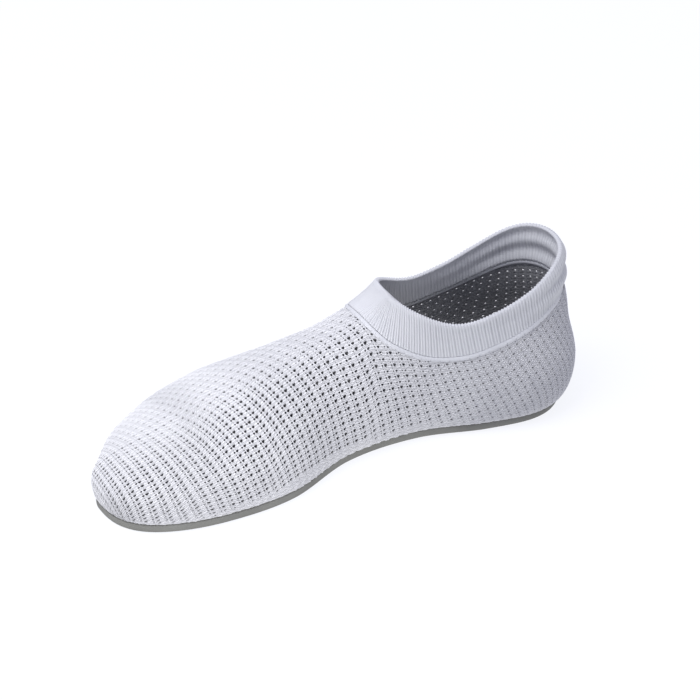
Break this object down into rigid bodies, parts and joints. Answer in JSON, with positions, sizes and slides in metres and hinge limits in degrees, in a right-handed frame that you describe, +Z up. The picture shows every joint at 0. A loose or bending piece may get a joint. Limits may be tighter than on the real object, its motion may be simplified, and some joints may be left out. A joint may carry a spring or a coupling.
{
  "type": "knitted house slipper",
  "caption": "Right-foot slip-on house slipper with an openwork knitted upper, a ribbed ankle cuff and a thin flat foam sole.",
  "frame": {"origin": "on the floor under the middle of the slipper's box", "axes": "+X from heel to toe, +Y to the big-toe side, +Z up from the floor"},
  "size_m": [0.2654, 0.0938, 0.0901],
  "materials": {
    "grey_foam": "matte die-cut foam",
    "footbed_cloth": "brushed cloth",
    "white_knit": "openwork knit",
    "white_seam_thread": "overlock thread",
    "white_rib_knit": "rib knit"
  },
  "bodies": {
    "root": {"outsole": "grey_foam", "insole": "footbed_cloth", "upper": "white_knit", "collar_seam": "white_seam_thread", "collar_cuff": "white_rib_knit"}
  },
  "joints": []
}
